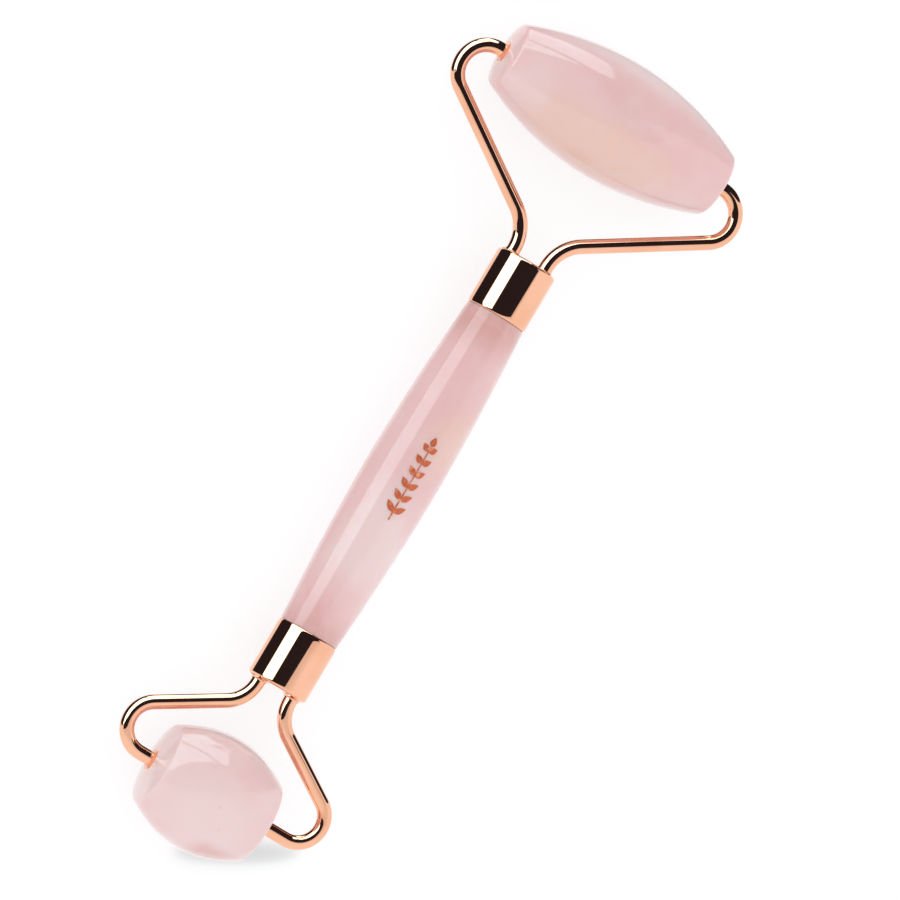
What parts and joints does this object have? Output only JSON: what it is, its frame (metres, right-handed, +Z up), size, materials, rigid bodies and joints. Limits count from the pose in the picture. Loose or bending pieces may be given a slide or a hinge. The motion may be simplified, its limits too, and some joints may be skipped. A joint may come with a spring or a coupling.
{
  "type": "face roller",
  "caption": "Hand-held face roller with a rose quartz handle, metal ferrules, bent wire forks and a free-turning polished stone roller at each end.",
  "frame": {"origin": "on the table under the middle of the roller as it lies flat on its two stones", "axes": "+X along the handle towards the large roller, +Y along both roller axes, +Z up, square to the plane of the forks"},
  "size_m": [0.145, 0.0552, 0.0199],
  "materials": {
    "rose_quartz": "polished, milky translucent pink with cream clouding",
    "rose_gold": "mirror-polished rose gold plating",
    "clear_epoxy": "cured clear adhesive",
    "natural_nylon": "natural, unpolished"
  },
  "bodies": {
    "handle": {"handle_stone": "rose_quartz", "large_ferrule": "rose_gold", "small_ferrule": "rose_gold", "large_epoxy_bond": "clear_epoxy", "small_epoxy_bond": "clear_epoxy", "large_left_arm": "rose_gold", "large_right_arm": "rose_gold", "small_left_arm": "rose_gold", "small_right_arm": "rose_gold", "large_left_solder": "rose_gold", "large_right_solder": "rose_gold", "small_left_solder": "rose_gold", "small_right_solder": "rose_gold"},
    "large_roller": {"large_roller_stone": "rose_quartz", "large_left_bush": "natural_nylon", "large_right_bush": "natural_nylon"},
    "small_roller": {"small_roller_stone": "rose_quartz", "small_left_bush": "natural_nylon", "small_right_bush": "natural_nylon"}
  },
  "joints": [
    {"name": "large_roller_spin", "type": "hinge", "parent": "handle", "child": "large_roller", "pos_m": [0.06255, 0, 0.00995], "axis": [0, 1, 0], "continuous": true},
    {"name": "small_roller_spin", "type": "hinge", "parent": "handle", "child": "small_roller", "pos_m": [-0.06255, 0, 0.00995], "axis": [0, 1, 0], "continuous": true}
  ]
}
